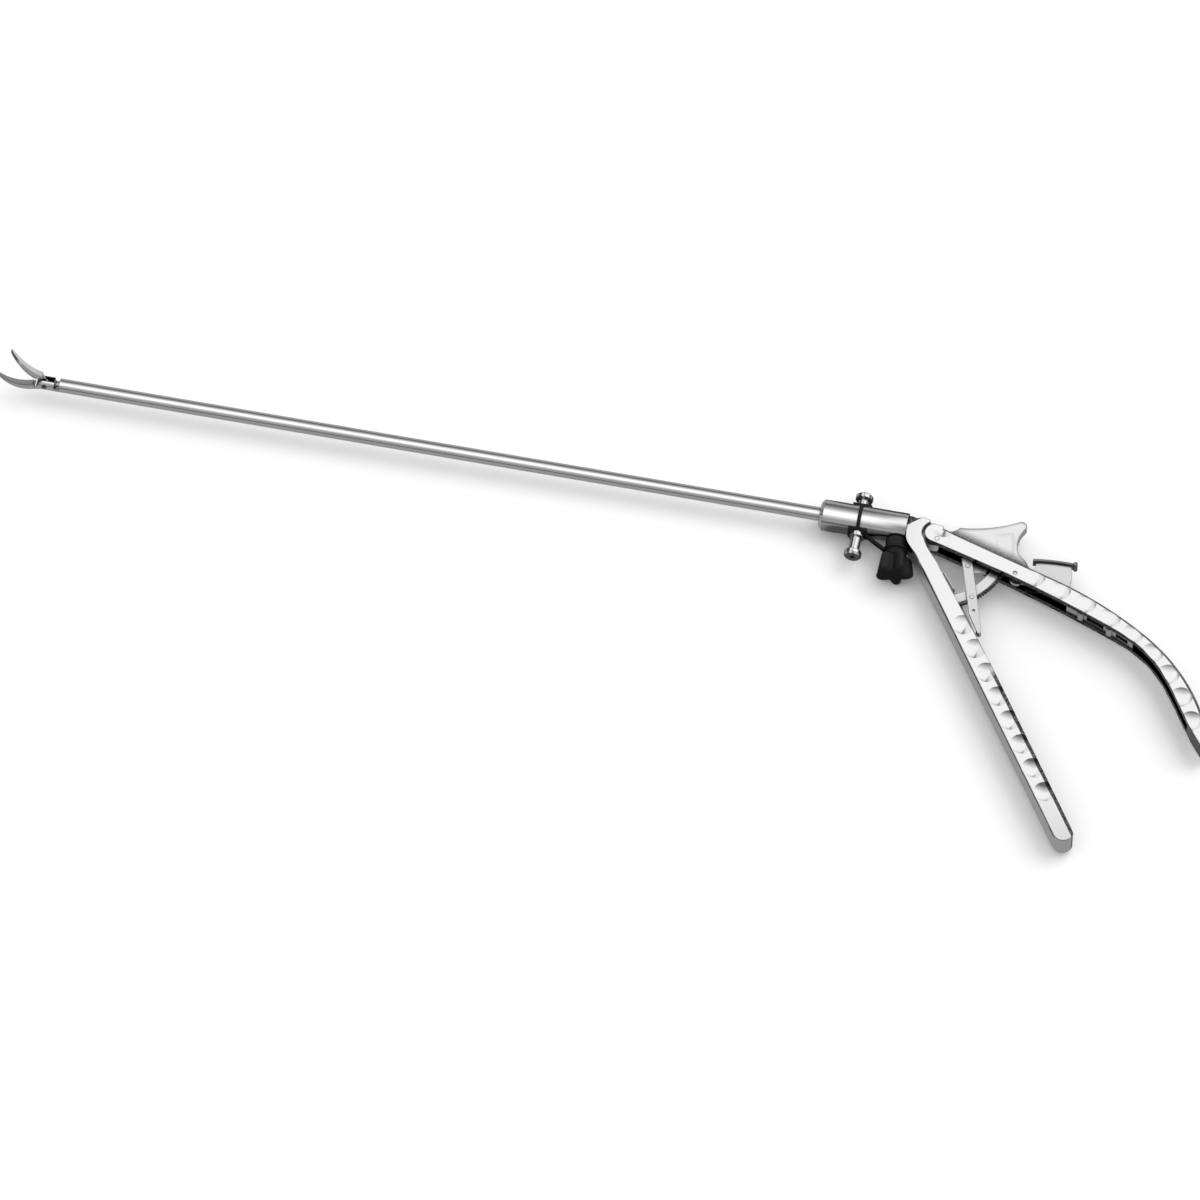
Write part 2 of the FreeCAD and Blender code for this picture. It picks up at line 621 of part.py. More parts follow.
def link_strut():
    low = S["strutLow"]
    high = low + S["strutThick"]
    line = STRUT_TOE - STRUT_TOP
    line.normalize()
    side = V(-line.y, line.x, 0)
    top = STRUT_TOP - line * 3.6
    length = (STRUT_TOE - top).Length

    def at(down, across):
        p = top + line * down + side * across
        return (p.x, p.y)

    toe = [at(length, 0.9), at(length - 0.6, 1.6)]
    shape = polygon([at(0, -1.8), at(length - 8.6, -1.8), at(length - 0.4, 0.3)] + toe + [at(length - 4, 1.8),
                    at(0, 1.8)], low, high)
    foot = polygon([at(length - 1.6, -0.2), at(length - 0.4, 0.3)] + toe + [at(length - 2.4, 1.7)], -0.6, low)
    shape = shape.fuse(foot)
    rivet_spot = STRUT_TOP + line * 13.2
    pin_r = S["pinRadius"]
    for spot, radius in ((STRUT_TOP, pin_r + S["runningGap"]), (rivet_spot, pin_r), (STRUT_TOP + line * 19.0, 0.55)):
        shape = shape.cut(rod_z(spot, radius, -9, 9))
    handle_part("link_strut", shape)
    handle_part("strut_rivet", rod_z(rivet_spot, pin_r, low - 0.1, high + 0.1))
    handle_part("strut_pin", rod_z(STRUT_TOP, pin_r, -0.6, high + 0.1))
    plate_top = low - 0.2
    bracket = polygon([(11.3, -9.2), (14.3, -9.9), (19.6, -8.8), (20.3, -5.4), (11.9, -2.7)], -0.6, plate_top)
    bracket = bracket.cut(rod_z(STRUT_TOP, pin_r, -9, 9)).cut(rod_z(BRACKET_SCREW, S["screwRadius"], -9, 9))
    handle_part("strut_bracket", bracket)
    screw = rod_z(BRACKET_SCREW, S["screwRadius"], -S["armHalf"], plate_top)
    handle_part("bracket_screw", screw.fuse(rod_z(BRACKET_SCREW, S["screwRadius"] + 0.5, -S["channelHalf"], -0.6)))


def guard_fin():
    """Fin on the rear handle's outer edge that the ratchet arc runs into."""
    shape = plate([("line", [(2.5, rear_edge(2.5)), (4.1, 5.4)]), ("arc", [(5.8, 6.2), (7.0, 7.6)]),
                   ("arc", [(17.6, 9.7), (27.7, 14.2)]), ("arc", [(30.0, 14.1), (30.6, 11.9)]),
                   ("arc", [(28.7, 6.0), (29.9, 0.8)]), ("line", [(32.9, -1.9), (35.0, rear_edge(35.0))])], -1.6, 1.6)
    inner = S["arcInner"] - 0.7
    outer = S["arcOuter"] + 0.7
    slot = plate([("line", [arc_at(outer, -12)]), ("arc", [arc_at(outer, 4), arc_at(outer, 19)]),
                  ("line", [arc_at(inner, 19)]), ("arc", [arc_at(inner, 4), arc_at(inner, -12)])], -0.95, 0.95)
    toe = [arc_at(26.0, -11), arc_at(30.4, -11), arc_at(30.4, -5.5), arc_at(26.0, -5.5)]
    shape = shape.cut(slot).cut(polygon(toe, -1.0, 1.0))
    handle_part("ratchet_guard_fin", biggest(shape))


def release_lever():
    half = S["plateHalf"]
    shape = plate([("line", [arc_at(S["arcOuter"] + 0.15, -10.0), (28.0, -4.5), (29.3, -5.9), (33.3, -6.7),
                             (36.3, -5.2), (36.6, -0.8)]), ("arc", [(43.0, -0.1), (49.1, 0.0)]),
                   ("arc", [(50.2, -5.5), (49.5, -10.8)]), ("line", [(40.7, -10.2), (32.7, -10.4)]),
                   ("arc", [(29.6, -11.0), (28.3, -8.6)]), ("line", [(27.0, -6.8)])], -half, half)
    shape = shape.cut(rod_z(LEVER, LEVER_PIN + S["runningGap"], -9, 9))
    handle_part("release_lever", shape)
    pad = plate([("line", [(35.3, -1.1)]), ("arc", [(43.0, -0.1), (49.1, 0.0)]), ("line", [(50.3, 0.1), (50.3, 0.8)]),
                 ("arc", [(43.0, 0.7), (35.3, -0.1)])], -1.7, 1.7)
    handle_part("lever_pad", pad.fuse(rod_z(V(50.6, 0.5, 0), 0.8, -2.1, 2.1)).cut(shape))
    handle_part("lever_pin", rod_z(LEVER, LEVER_PIN, -S["armHalf"], S["armHalf"] - 0.3))


def liner():
    ch = S["channelHalf"]
    screw = S["screwRadius"]
    shape = strip([(50.5, -17.4), (62.7, -21.9), (76.7, -28.4)], 1.0, -ch, ch)
    for place in LINER_SCREWS:
        shape = shape.fuse(rod_z(place, screw + 0.7, -ch, ch)).cut(rod_z(place, screw, -9, 0))
    for low, high in ((58.5, 65.0), (70.0, 74.6)):
        shape = shape.cut(box(low, high, -36, -11, -1.1, 1.1))
    handle_part("channel_liner", shape)
    screws = [rod_z(p, screw, -S["armHalf"], 0) for p in LINER_SCREWS]
    keep(feature("liner_screws", Part.makeCompound(screws), AT_PIVOT), "liner_screws")


def pins():
    handle_part("main_pivot_pin", rod_z(V(0, 0, 0), S["pinRadius"], -S["armHalf"], S["armHalf"]))
    handle_part("rod_pin", rod_z(ROD_PIN, S["rodPinRadius"], -2.9, 2.9))


outer_tube()
pull_rod()
jaws()
hub()
lock_bolt()
port_and_cap()
cap_strap()
front_handle()
rear_handle()
pins()
ratchet_arc()
return_leaf()
link_strut()
guard_fin()
release_lever()
liner()
doc.recompute()

for obj in doc.Objects:
    if "Invalid" in obj.State or "Error" in obj.State:
        raise RuntimeError("failed feature " + obj.Label)

os.makedirs("parts", exist_ok=True)
for name, obj in PARTS:
    shape = obj.Shape
    if shape.isNull() or not shape.isValid():
        raise RuntimeError("bad shape " + name)
    shape.exportStep("parts/%s.step" % name)
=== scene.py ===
import math
import bmesh
import bpy
from mathutils import Matrix, Vector


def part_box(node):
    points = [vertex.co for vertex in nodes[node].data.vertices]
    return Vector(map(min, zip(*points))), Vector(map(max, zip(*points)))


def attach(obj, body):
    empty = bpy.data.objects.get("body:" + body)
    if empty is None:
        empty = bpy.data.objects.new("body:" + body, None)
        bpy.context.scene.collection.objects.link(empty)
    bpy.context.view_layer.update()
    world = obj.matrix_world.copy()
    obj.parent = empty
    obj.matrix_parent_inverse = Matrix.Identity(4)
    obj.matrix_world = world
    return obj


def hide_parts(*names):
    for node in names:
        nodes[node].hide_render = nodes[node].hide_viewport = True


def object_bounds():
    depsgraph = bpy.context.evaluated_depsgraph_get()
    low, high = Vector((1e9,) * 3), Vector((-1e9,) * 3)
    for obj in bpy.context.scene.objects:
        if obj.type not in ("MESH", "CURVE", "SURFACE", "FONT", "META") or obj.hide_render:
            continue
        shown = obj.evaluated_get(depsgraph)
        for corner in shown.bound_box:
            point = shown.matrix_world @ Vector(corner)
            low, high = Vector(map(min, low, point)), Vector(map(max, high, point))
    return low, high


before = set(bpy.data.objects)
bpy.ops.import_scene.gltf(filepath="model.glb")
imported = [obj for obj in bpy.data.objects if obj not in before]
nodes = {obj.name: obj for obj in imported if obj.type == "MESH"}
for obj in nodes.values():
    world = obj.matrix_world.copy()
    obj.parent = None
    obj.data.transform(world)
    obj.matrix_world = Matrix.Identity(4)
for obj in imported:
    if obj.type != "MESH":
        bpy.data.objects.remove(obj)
cad_low, cad_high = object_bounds()

MM = 0.001
UP = (0.0, 0.0, 1.0)
# First socket and result of a mix of colours or of vectors.
MIX_PLACES = {"RGBA": (6, 2), "VECTOR": (4, 1)}
EDGE_SAMPLES = 6
# Ends of the masks: how alike a face and its rounded direction are, and how open a hollow is.
EDGE_ALIKE = (0.997, 0.95)
HOLLOW_OPEN = (0.8, 0.2)


def grey(level):
    return (level, level, level)


WHITE = grey(1.0)


# Shader maths

class Sock:
    """A shader value: arithmetic on it adds the node that does it."""

    def __init__(self, graph, socket):
        self.graph = graph
        self.socket = socket

    def op(self, kind, *others):
        return self.graph.maths(kind, self, *others)

    def __add__(self, other):
        return self.op("ADD", other)

    def __sub__(self, other):
        return self.op("SUBTRACT", other)

    def __rsub__(self, other):
        return self.graph.maths("SUBTRACT", other, self)

    def __mul__(self, other):
        return self.op("MULTIPLY", other)

    def __truediv__(self, other):
        return self.op("DIVIDE", other)

    def __rtruediv__(self, other):
        return self.graph.maths("DIVIDE", other, self)

    __radd__ = __add__
    __rmul__ = __mul__

    def step(self, low, high):
        """Smooth 0 to 1 between low and high, which may be the larger first."""
        if low > high:
            return 1.0 - self.step(high, low)
        return self.graph.node("ShaderNodeMapRange", {"interpolation_type": "SMOOTHSTEP"},
                               Value=self, From_Min=low, From_Max=high)


def set_stops(points, stops):
    """Gives a ramp its grey stops, each a place and a brightness."""
    while len(points) < len(stops):
        points.new(0.5)
    for point, (spot, level) in zip(points, stops):
        point.position = spot
        point.color = grey(level) + (1.0,)


class Graph:
    """Nodes of one material or world."""

    def __init__(self, tree):
        self.tree = tree

    def feed(self, target, value):
        """Links a shader value to a socket, or sets the socket to a plain one."""
        if isinstance(value, Sock):
            self.tree.links.new(value.socket, target)
        elif isinstance(value, tuple) and len(value) == 3 and target.type == "RGBA":
            target.default_value = value + (1.0,)
        else:
            target.default_value = value

    def node(self, kind, settings=None, output=0, inputs=(), **named):
        """Adds a node: its settings first, then its sockets by place and by name."""
        made = self.tree.nodes.new(kind)
        for key, value in (settings or {}).items():
            if key == "stops":
                set_stops(made.color_ramp.elements, value)
            else:
                setattr(made, key, value)
        by_place = inputs if isinstance(inputs, dict) else dict(enumerate(inputs))
        for slot, value in by_place.items():
            self.feed(made.inputs[slot], value)
        for key, value in named.items():
            self.feed(made.inputs[key.replace("_", " ")], value)
        return Sock(self, made.outputs[output])

    def maths(self, kind, *inputs):
        return self.node("ShaderNodeMath", {"operation": kind}, inputs=inputs)

    def vector(self, kind, *inputs, output="Vector", **named):
        return self.node("ShaderNodeVectorMath", {"operation": kind}, output, inputs, **named)

    def turned(self, direction, source, target):
        """A surface direction, turned from one space to another."""
        spaces = {"vector_type": "NORMAL", "convert_from": source, "convert_to": target}
        return self.node("ShaderNodeVectorTransform", spaces, Vector=direction)

    def split(self, vector):
        """The X, Y and Z of a vector."""
        made = self.node("ShaderNodeSeparateXYZ", inputs=(vector,)).socket.node
        return [Sock(self, part) for part in made.outputs]

    def place(self):
        return self.node("ShaderNodeTexCoord", output="Object")

    def noise(self, vector, scale, detail=3.0):
        return self.node("ShaderNodeTexNoise", Vector=vector, Scale=scale, Detail=detail)

    def mixed(self, factor, a, b, kind="RGBA"):
        """Mix of two colours, or of two vectors."""
        first, result = MIX_PLACES[kind]
        return self.node("ShaderNodeMix", {"data_type": kind}, result, {0: factor, first: a, first + 1: b})

    def ramp(self, value, stops):
        return self.node("ShaderNodeValToRGB", {"stops": stops}, inputs=(value,))

    def ray(self, kind):
        return self.node("ShaderNodeLightPath", output=kind)

    def glow(self, colour):
        return self.node("ShaderNodeEmission", Color=colour, Strength=1.0)


class Finish(Graph):
    """A material with one principled shader."""

    def __init__(self, name):
        self.mat = bpy.data.materials.new(name)
        self.mat.use_nodes = True
        super().__init__(self.mat.node_tree)
        self.shader = self.tree.nodes["Principled BSDF"]

    def set(self, **values):
        for key, value in values.items():
            self.feed(self.shader.inputs[key.replace("_", " ")], value)

    def show(self, shader):
        """Sends another shader to the surface."""
        self.feed(self.tree.nodes["Material Output"].inputs[0], shader)

    def rounded(self, radius):
        """Surface direction with edges rounded by a small radius."""
        return self.node("ShaderNodeBevel", {"samples": EDGE_SAMPLES}, Radius=radius)

    def relief(self, height, strength, distance, normal):
        self.set(Normal=self.node("ShaderNodeBump", Strength=strength, Distance=distance, Height=height,
                                  Normal=normal))

    def edge_line(self, radius):
        """1 along the edges of a piece, 0 on its faces: the mask of the painted dark edge line."""
        face = self.node("ShaderNodeNewGeometry", output="Normal")
        alike = self.vector("DOT_PRODUCT", face, self.rounded(radius), output="Value")
        return alike.step(*EDGE_ALIKE)

    def hollow(self, reach):
        """1 deep in slots and corners, 0 in the open: the mask of the painted shade there."""
        open_part = self.node("ShaderNodeAmbientOcclusion", {"samples": EDGE_SAMPLES}, output="AO",
                              Distance=reach)
        return open_part.step(*HOLLOW_OPEN)

    def facing(self, way):
        """How much the surface faces a direction of the part, 1 squarely."""
        normal = self.node("ShaderNodeNewGeometry", output="Normal")
        own = self.turned(normal, "WORLD", "OBJECT")
        return self.vector("DOT_PRODUCT", own, way, output="Value")

    def beside(self, start, along):
        """Distance to the left of a line in the XY plane, in metres."""
        x, y, _ = self.split(self.place())
        return (y - start[1]) * along[0] - (x - start[0]) * along[1]


# Steel

EVEN_MARKS = grey(400.0)
# Marks of turned and drawn pieces run round the shaft, so they vary fast along X.
ROUND_MARKS = (1500.0, 20.0, 20.0)
MARK_DEPTH = 0.05 * MM
MARK_STRENGTH = 0.04
CLOUD_SCALE = 90.0
CLOUD_GLOSS = 0.03
DULLER = 0.95
SPECKLE_SCALE = 1800.0
SPECKLE_ENDS = (0.45, 0.7)
SHADE_WEIGHT = 0.9
# Tone of the painted dark line along edges, which stands for their dark reflection.
EDGE_SHADE_TONE = grey(0.05)
# Tone of the painted shade deep in slots and corners.
HOLLOW_SHADE_TONE = grey(0.02)
HOLLOW_REACH = 5.0 * MM
# Dark speckle for the filed edge and the teeth, also used as painted shade in the channel, on rims and at
# the fin's root.
WORN_AND_SHADE_DARK = grey(0.04)
WORN_AND_SHADE_LIGHT = grey(0.26)


def steel(name, tone, rough, lines=EVEN_MARKS, streak=0.05, edge=0.3 * MM, soft=0.15 * MM, scoops=(),
          worn_and_shade=None):
    """Stainless steel.

    lines is how fast the polishing marks vary along X, Y and Z, and streak how much they change the gloss.
    edge and soft are the radii of the painted dark line along edges, standing for their dark reflection,
    and of the rounding along edges.
    scoops are the middles of the grip scoops; the last argument masks the dark speckle: filed edges and
    teeth, and painted shade.
    """
    g = Finish(name)
    place = g.place()
    cloud = g.noise(place, CLOUD_SCALE)
    marks = g.noise(g.vector("MULTIPLY", place, lines), 1.0, 2.0)
    light = (tone, tone, tone * 0.995)
    dull = tuple(part * DULLER for part in light)
    base = g.mixed(cloud, dull, light)
    # The dark speckle marks the filed edge and the ratchet teeth, and is painted shade in the rear arm's
    # channel, on rims and at the fin's root.
    if worn_and_shade:
        speckle = g.noise(place, SPECKLE_SCALE, 2.0).step(*SPECKLE_ENDS)
        base = g.mixed(worn_and_shade(g), base, g.mixed(speckle, WORN_AND_SHADE_DARK, WORN_AND_SHADE_LIGHT))
    # Painted dark reflection along edges.
    base = g.mixed(g.edge_line(edge) * SHADE_WEIGHT, base, EDGE_SHADE_TONE)
    # Painted shade deep in slots and corners.
    base = g.mixed(g.hollow(HOLLOW_REACH) * SHADE_WEIGHT, base, HOLLOW_SHADE_TONE)
    g.set(Base_Color=base, Metallic=1.0, Roughness=marks * streak + cloud * CLOUD_GLOSS + rough)
    normal = g.rounded(soft)
    if scoops:
        normal = scooped(g, place, normal, scoops)
    g.relief(marks, MARK_STRENGTH, MARK_DEPTH, normal)
    return g.mat


# Scoops of the arms

ARM_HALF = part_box("front_handle")[1].z
# The solid's scoops are shallow cones; their finish gives them the wider ball-cut bowl of the real arm.
CONE_RADIUS = 3.5 * MM
CONE_DEPTH = 0.9 * MM
BOWL_RADIUS = 4.3 * MM
BOWL_RIM = 0.93
BOWL_DEPTH = 0.95 * MM
BOWL_BALL = (BOWL_RADIUS ** 2 + BOWL_DEPTH ** 2) / (2 * BOWL_DEPTH)
BOWL_RISE = 0.97
# The bowls end just under the cones' floors.
BOWL_LOW = (ARM_HALF - CONE_DEPTH * 1.1, ARM_HALF - CONE_DEPTH * 1.05)
SAME_PLACE = 0.01 * MM


def scoop_places(name):
    """Middles of the grip scoops in the upper side of an arm: the deepest point of each."""
    floor_z = ARM_HALF - CONE_DEPTH
    found = []
    for vertex in nodes[name].data.vertices:
        spot = vertex.co
        deepest = abs(spot.z - floor_z) < SAME_PLACE
        if deepest and all((spot - old).length > CONE_RADIUS for old in found):
            found.append(spot.copy())
    return found


def scooped(g, place, normal, middles):
    """Surface direction with the hollow of a ball-nosed cutter in each scoop, on both sides of the arm."""
    lean = (0.0, 0.0, 0.0)
    inside = 0.0
    flat = g.vector("MULTIPLY", place, (1.0, 1.0, 0.0))
    for spot in middles:
        away = g.vector("SUBTRACT", (spot.x, spot.y, 0.0), flat)
        mask = g.vector("LENGTH", away, output="Value").step(BOWL_RADIUS, BOWL_RADIUS * BOWL_RIM)
        lean = g.vector("ADD", lean, g.vector("SCALE", away, Scale=mask / BOWL_BALL))
        inside = mask + inside
    z = g.split(place)[2]
    side = z.op("SIGN")
    on_face = (z * side).step(*BOWL_LOW)
    bowl = g.vector("ADD", lean, g.node("ShaderNodeCombineXYZ", Z=side * BOWL_RISE))
    bowl = g.turned(bowl, "OBJECT", "WORLD")
    return g.vector("NORMALIZE", g.mixed(inside * on_face, normal, bowl, "VECTOR"))


# Worn and shaded parts

def middle_of(name):
    low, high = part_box(name)
    return (low + high) / 2


# The arms run from the main pivot. The directions are in the XY plane.
PIVOT = middle_of("main_pivot_pin")
FRONT_ALONG = (0.546, -0.838)
FRONT_ACROSS = (FRONT_ALONG[1], -FRONT_ALONG[0])
REAR_ALONG = (0.951, -0.309)
REAR_INWARDS = (REAR_ALONG[1], -REAR_ALONG[0], 0.0)
ROOT_ALONG = (0.955, -0.297)
# Where the strut's foot ends on the front arm's inner edge, and a point of the arm's outer face.
STRUT_FOOT = PIVOT + Vector((28.6, -48.9, 0.0)) * MM
OUTER_FACE = PIVOT + Vector((-10.3, -3.0, 0.0)) * MM
FIN_ROOT = PIVOT + Vector((1.5, 5.5, 0.0)) * MM
TEETH_REACH = (25.5 * MM, 26.1 * MM)
# Ends of the front arm's masks: its filed inner edge, and the painted shade along its rounded outer edge.
FILED_EDGE = (-1.5 * MM, -1.0 * MM)
FILED_START = (-1.0 * MM, 6.0 * MM)
ROUND_EDGE = (1.0 * MM, 0.6 * MM)
ROUND_HIGH = (3.2 * MM, 3.5 * MM)
ROUND_START = (-52.0 * MM, -46.0 * MM)
# Ends of the rear arm's painted shade masks, by the way a face looks and by its height.
WALL_FACING = (0.3, 0.6)
BED_FACING = (0.5, 0.8)
BED_HIGH = (2.0 * MM, 1.0 * MM)
RIM_STEEP = (0.5, 0.65)
RIM_FLAT = (0.95, 0.9)
RIM_HIGH = (0.0, 1.0 * MM)
RIM_WEIGHT = 0.85
ROOT_REACH = (4.5 * MM, 0.2 * MM)
ROOT_WEIGHT = 0.9


def front_filed_and_shaded(g):
    """Painted shade along the front arm's rounded outer edge, and its dark rough filed inner edge below the
    strut.
    """
    z = g.split(g.place())[2]
    inwards = g.beside(STRUT_FOOT, FRONT_ALONG)
    down = g.beside(STRUT_FOOT, FRONT_ACROSS)
    inner = inwards.step(*FILED_EDGE) * down.step(*FILED_START)
    outer = g.beside(OUTER_FACE, FRONT_ALONG).step(*ROUND_EDGE) * z.step(*ROUND_HIGH)
    return inner.op("MAXIMUM", outer * down.step(*ROUND_START))


def rear_painted_shade(g):
    """Painted shade inside the rear arm's channel, and a painted darker band on its rounded rim."""
    z = g.split(g.place())[2]
    up = g.facing(UP)
    wall = g.facing(REAR_INWARDS).step(*WALL_FACING)
    bed = up.step(*BED_FACING) * z.step(*BED_HIGH)
    rim = up.step(*RIM_STEEP) * up.step(*RIM_FLAT) * z.step(*RIM_HIGH)
    return wall.op("MAXIMUM", bed).op("MAXIMUM", rim * RIM_WEIGHT)


def fin_root(g):
    """Shade where the fin meets the rear arm's back."""
    return g.beside(FIN_ROOT, ROOT_ALONG).step(*ROOT_REACH) * ROOT_WEIGHT


def arc_teeth(g):
    """The toothed rim of the ratchet arc, which is round the main pivot."""
    x, y, _ = g.split(g.place())
    dx = x - PIVOT.x
    dy = y - PIVOT.y
    return (dx * dx + dy * dy).op("SQRT").step(*TEETH_REACH)


# Black pieces

GRAIN_SCALE = 2500.0
GRAIN_DEPTH = 0.1 * MM
GRAIN_STRENGTH = 0.2
GRAIN_GLOSS = 0.15
GRAIN_PALER = 1.8
BLACK_SHINE = 0.35
MOULD_EDGE = 0.4 * MM


def black(name, tone, rough):
    """Moulded black plastic or rubber with a fine grain."""
    g = Finish(name)
    grain = g.noise(g.place(), GRAIN_SCALE)
    base = (tone, tone, tone * 1.05)
    pale = tuple(part * GRAIN_PALER for part in base)
    g.set(Base_Color=g.mixed(grain, base, pale), Roughness=grain * GRAIN_GLOSS + rough)
    g.set(Specular_IOR_Level=BLACK_SHINE)
    g.relief(grain, GRAIN_STRENGTH, GRAIN_DEPTH, g.rounded(MOULD_EDGE))
    return g.mat


# Finishes

POLISHED = steel("polished_steel", 0.93, 0.10)
FRONT_ARM = steel("front_arm_steel", 0.93, 0.09, edge=0.45 * MM, scoops=scoop_places("front_handle"),
                  worn_and_shade=front_filed_and_shaded)
REAR_ARM = steel("rear_arm_steel", 0.93, 0.09, edge=0.45 * MM, scoops=scoop_places("rear_handle"),
                 worn_and_shade=rear_painted_shade)
FIN = steel("fin_steel", 0.84, 0.14, edge=0.4 * MM, soft=1.8 * MM, worn_and_shade=fin_root)
ARC = steel("ratchet_arc_steel", 0.78, 0.2, worn_and_shade=arc_teeth)
TURNED = steel("turned_steel", 0.92, 0.07, ROUND_MARKS, 0.06)
DRAWN = steel("drawn_tube_steel", 0.92, 0.08, ROUND_MARKS, 0.05, edge=0.1 * MM)
SATIN = steel("satin_steel", 0.74, 0.24, streak=0.1, edge=0.25 * MM)
# The lever pad's steel is dark: painted shade standing for the dark reflection on its edge.
SHADED_PAD = steel("lever_pad_shaded_steel", 0.22, 0.2)
JAW = steel("jaw_steel", 0.93, 0.13, edge=0.2 * MM)
DARK = black("dark_pin_end", 0.02, 0.4)
PLASTIC = black("black_cap_plastic", 0.005, 0.5)
RUBBER = black("black_strap_rubber", 0.004, 0.6)

# Pieces that aren't named here are satin steel.
FINISH = {
    "outer_tube": DRAWN,
    "hub_body": TURNED, "lock_bolt": TURNED, "bolt_button": TURNED, "bolt_bush": TURNED,
    "flush_port": TURNED, "port_cap": PLASTIC, "cap_strap": RUBBER, "rod_seal": RUBBER,
    "fixed_jaw": JAW, "moving_jaw": JAW, "jaw_pivot_pin": DARK, "jaw_drive_pin": DARK,
    "front_handle": FRONT_ARM, "rear_handle": REAR_ARM, "main_pivot_pin": POLISHED,
    "ratchet_guard_fin": FIN, "ratchet_arc": ARC, "lever_pad": SHADED_PAD,
}

for name, obj in nodes.items():
    obj.data.materials.clear()
    obj.data.materials.append(FINISH.get(name, SATIN))


def put(name, data):
    obj = bpy.data.objects.new(name, data)
    bpy.context.scene.collection.objects.link(obj)
    return obj


# Moulded cap

# The cap sits on the flush port, which leans a little towards the handles. Its own sizes are in mm.
CAP_PLACE = Matrix.Translation((28.3 * MM, 0.0, 0.0)) @ Matrix.Rotation(math.radians(6.0), 4, "Z")
CAP_LOBES = 5
CAP_TURN = math.radians(-6)
CAP_MEAN = 5.55
CAP_WAVE = 1.55
# The lobes taper towards the port, clear of the front arm.
CAP_NARROW = 0.88
CAP_EDGE = 1.6
CAP_FOOT = -20.7
CAP_DISH = 0.5
CAP_DISH_MIDDLE = 1.2
CAP_SHOULDER = -12.6
CAP_SKIRT = 3.9
CAP_MOUTH = 2.35
CAP_BORE = 2.5
CAP_TOP = -5.6
CAP_SIDES = 80
EDGE_STEPS = 6


def cap_rings():
    """Rings of the cap, closed end to mouth: place along its axis, mean radius and wave of the lobes."""
    turns = [math.pi / 2 * step / EDGE_STEPS for step in range(EDGE_STEPS + 1)]
    dished_end = [(CAP_FOOT + CAP_DISH, CAP_DISH_MIDDLE, 0.0),
                  (CAP_FOOT + CAP_DISH / 2, CAP_MEAN / 2, CAP_WAVE * 0.3)]
    foot_edge = []
    for turn in turns:
        inset = CAP_EDGE * (1 - math.sin(turn))
        along = CAP_FOOT + CAP_EDGE * (1 - math.cos(turn))
        foot_edge.append((along, CAP_MEAN - inset, CAP_WAVE * (1 - inset * 0.1)))
    shoulder_edge = []
    for turn in turns:
        inset = CAP_EDGE * (1 - math.cos(turn))
        along = CAP_SHOULDER - CAP_EDGE * (1 - math.sin(turn))
        wave = CAP_WAVE * CAP_NARROW * (1 - inset * 0.3)
        shoulder_edge.append((along, CAP_MEAN * CAP_NARROW - inset, wave))
    skirt = [(CAP_SHOULDER + 0.1, CAP_SKIRT + 0.2, 0.1), (CAP_SHOULDER + 0.5, CAP_SKIRT, 0.0),
             (CAP_TOP - 0.3, CAP_SKIRT, 0.0), (CAP_TOP, CAP_SKIRT - 0.3, 0.0)]
    bore = [(CAP_TOP, CAP_MOUTH, 0.0), (CAP_TOP - CAP_BORE, CAP_MOUTH, 0.0)]
    return dished_end + foot_edge + shoulder_edge + skirt + bore


def cap_mesh():
    """Closed skin through the cap's rings."""
    mesh = bmesh.new()
    loops = []
    for along, mean, wave in cap_rings():
        loop = []
        for side in range(CAP_SIDES):
            angle = 2 * math.pi * side / CAP_SIDES
            radius = mean + wave * math.cos(CAP_LOBES * (angle - CAP_TURN))
            spot = Vector((radius * math.cos(angle), along, radius * math.sin(angle))) * MM
            loop.append(mesh.verts.new(CAP_PLACE @ spot))
        loops.append(loop)
    for one, other in zip(loops, loops[1:]):
        for side in range(CAP_SIDES):
            after = (side + 1) % CAP_SIDES
            mesh.faces.new((one[side], one[after], other[after], other[side]))
    mesh.faces.new(loops[0][::-1])
    mesh.faces.new(loops[-1])
    bmesh.ops.recalc_face_normals(mesh, faces=mesh.faces)
    for face in mesh.faces:
        face.smooth = True
    data = bpy.data.meshes.new("moulded_cap")
    mesh.to_mesh(data)
    mesh.free()
    return data


def moulded_cap():
    """Black cap with five rounded finger lobes."""
    cap = put("moulded_cap", cap_mesh())
    cap.data.materials.append(PLASTIC)
    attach(cap, "hub")
    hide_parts("port_cap")


# Camera

# Pixels are those of the 1200 pixel frame.
FRAME_PX = 1200.0
FRAME_MIDDLE = (600.0, 600.0)
ORIGIN_PX = (820.5, 514.3)
PX_PER_METRE = 2.78 / MM
SENSOR = 36.0
LENS = 1000.0
# From the part to the camera, and the direction of its X axis there before the roll.
CAMERA_WAY = (0.08, -0.52, 0.85)
LEVEL_WAY = (0.9968, 0.0417, -0.0683)
ROLL = math.radians(9.65)


